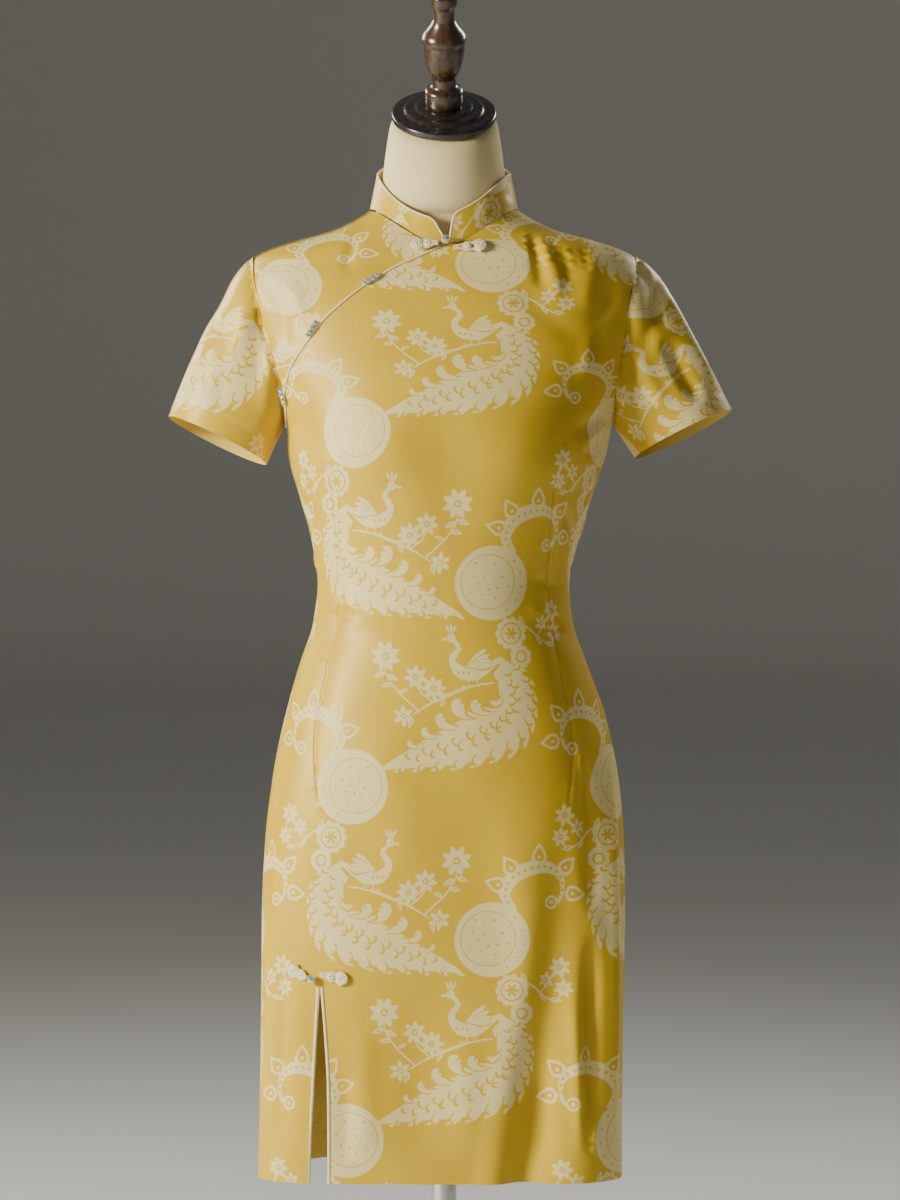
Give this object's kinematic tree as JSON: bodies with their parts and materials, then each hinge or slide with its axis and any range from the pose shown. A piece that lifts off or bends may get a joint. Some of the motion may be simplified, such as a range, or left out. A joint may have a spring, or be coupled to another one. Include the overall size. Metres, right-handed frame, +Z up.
{
  "type": "cheongsam dress on dress form",
  "caption": "Short-sleeved knee-length cheongsam with standing collar, curved side-fastening flap, thigh slit and corded frogs, worn by a limbless dress form on a pole and round base",
  "frame": {"origin": "middle of the round base, on its underside", "axes": "+Z up; the wearer faces -Y, so +X is the wearer's left"},
  "size_m": [0.5645, 0.36, 1.6321],
  "materials": {
    "satin": "golden yellow satin damask, soft sheen, pale woven birds, moon discs, blossom sprays and scrolls",
    "trim_cord": "cream satin piping and rolled cord",
    "crystal": "clear cut stones",
    "clasp_metal": "polished silver-coloured settings",
    "form_cover": "cream cloth stretched smooth",
    "dark_wood": "dark brown, turned and polished",
    "polished_steel": "polished",
    "base_paint": "satin black paint"
  },
  "bodies": {
    "root": {"front_panel": "satin", "under_front": "satin", "back_panel": "satin", "sleeve_right": "satin", "sleeve_left": "satin", "collar": "satin", "flap_piping": "trim_cord", "slit_piping_outer": "trim_cord", "slit_piping_inner": "trim_cord", "collar_piping": "trim_cord", "neck_frog_right": "trim_cord", "neck_frog_left": "trim_cord", "slit_frog_outer": "trim_cord", "slit_frog_inner": "trim_cord", "neck_button": "crystal", "slit_button": "crystal", "clasp_upper": "clasp_metal", "clasp_middle": "clasp_metal", "clasp_lower": "clasp_metal", "form_body": "form_cover", "neck_cap": "dark_wood", "finial": "dark_wood", "pole_socket": "polished_steel", "pole": "polished_steel", "stand_base": "base_paint"}
  },
  "joints": []
}
